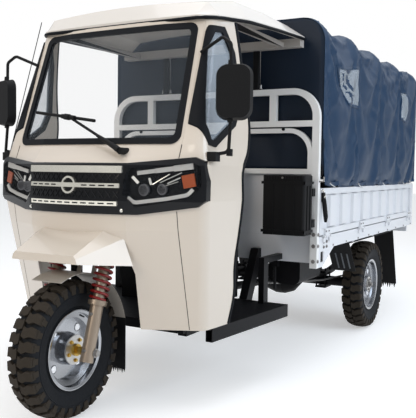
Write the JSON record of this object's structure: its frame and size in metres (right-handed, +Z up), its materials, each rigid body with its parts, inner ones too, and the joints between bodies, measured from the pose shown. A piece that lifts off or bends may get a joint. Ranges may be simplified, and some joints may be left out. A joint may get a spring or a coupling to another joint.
{
  "type": "cargo motor tricycle",
  "caption": "Cargo motor tricycle with an open-sided cab, a sprung front fork, a drop-side bed and a tarpaulin cover with clear windows.",
  "frame": {"origin": "centre of the bounding box on the ground", "axes": "X across with the left side at +X, Y rearward, Z up"},
  "size_m": [1.3764, 3.687, 1.826],
  "materials": {
    "black_metal": "satin",
    "bed_white": "gloss",
    "cab_ivory": "gloss",
    "dark_plastic": "matte",
    "cast_alloy": "as cast",
    "steel": "satin",
    "fork_champagne": "satin",
    "spring_red": "gloss",
    "black_plastic": "matte",
    "rim_silver": "polished",
    "tyre_rubber": "matte",
    "chrome": "mirror",
    "gloss_black": "gloss",
    "lamp_smoke": "gloss",
    "clear_glass": "gloss",
    "roof_cream": "semi-gloss",
    "seat_cover": "satin",
    "lamp_red": "gloss",
    "clear_film": "gloss",
    "tarp_fabric": "semi-matte",
    "black_rubber": "matte"
  },
  "bodies": {
    "chassis": {"antenna": "black_metal", "bed_floor": "bed_white", "bed_front_wall": "bed_white", "bed_hoop": "bed_white", "cab_corner_panel_left": "cab_ivory", "cab_corner_panel_right": "cab_ivory", "cab_front_panel": "cab_ivory", "chassis_frame": "black_metal", "dashboard": "dark_plastic", "engine": "cast_alloy", "exhaust": "steel", "floor_pan": "black_metal", "front_visor": "cab_ivory", "fuel_tank": "black_metal", "grille_bars": "chrome", "grille_panel": "gloss_black", "headlamps": "lamp_smoke", "leaf_springs": "black_metal", "mirrors": "black_plastic", "prop_shaft": "black_metal", "quarter_windows": "clear_glass", "rear_axle": "black_metal", "rear_mudguards": "black_plastic", "roof_canopy": "roof_cream", "roof_frame": "black_metal", "seat": "seat_cover", "seat_base": "black_metal", "tail_lamps": "lamp_red", "tarp_hoops": "black_metal", "tarp_windows": "clear_film", "tarpaulin": "tarp_fabric", "tool_box": "black_plastic", "window_seals": "black_rubber", "windscreen_glass": "clear_glass", "wiper": "black_plastic"},
    "steering": {"fork": "fork_champagne", "fork_springs": "spring_red", "front_mudguard": "black_plastic", "handlebar": "black_metal"},
    "front_wheel": {"front_tyre": "tyre_rubber", "front_rim": "rim_silver"},
    "rear_wheel_left": {"rear_tyre_left": "tyre_rubber", "rear_rim_left": "rim_silver"},
    "rear_wheel_right": {"rear_tyre_right": "tyre_rubber", "rear_rim_right": "rim_silver"},
    "side_panel_left": {"side_panel_left": "bed_white"},
    "side_panel_right": {"side_panel_right": "bed_white"},
    "tailgate": {"tailgate": "bed_white"},
    "tool_box_lid": {"tool_box_lid": "black_plastic"}
  },
  "joints": [
    {"name": "steering", "type": "hinge", "parent": "chassis", "child": "steering", "pos_m": [0, -1.53108, 0.27147], "axis": [0, 0.3007, 0.9537], "range_deg": [-35, 35]},
    {"name": "front_wheel_spin", "type": "hinge", "parent": "steering", "child": "front_wheel", "pos_m": [0, -1.559, 0.285], "axis": [1, 0, 0], "continuous": true},
    {"name": "rear_wheel_left_spin", "type": "hinge", "parent": "chassis", "child": "rear_wheel_left", "pos_m": [0.578, 0.741, 0.285], "axis": [1, 0, 0], "continuous": true},
    {"name": "rear_wheel_right_spin", "type": "hinge", "parent": "chassis", "child": "rear_wheel_right", "pos_m": [-0.578, 0.741, 0.285], "axis": [1, 0, 0], "continuous": true},
    {"name": "side_panel_left_hinge", "type": "hinge", "parent": "chassis", "child": "side_panel_left", "pos_m": [0.659, 0.723, 0.686], "axis": [0, 1, 0], "range_deg": [0, 175]},
    {"name": "side_panel_right_hinge", "type": "hinge", "parent": "chassis", "child": "side_panel_right", "pos_m": [-0.659, 0.723, 0.686], "axis": [0, -1, 0], "range_deg": [0, 175]},
    {"name": "tailgate_hinge", "type": "hinge", "parent": "chassis", "child": "tailgate", "pos_m": [0, 1.836, 0.686], "axis": [-1, 0, 0], "range_deg": [0, 175]},
    {"name": "tool_box_lid_hinge", "type": "hinge", "parent": "chassis", "child": "tool_box_lid", "pos_m": [0.522, -0.401, 0.9853], "axis": [-1, 0, 0], "range_deg": [0, 85]}
  ]
}
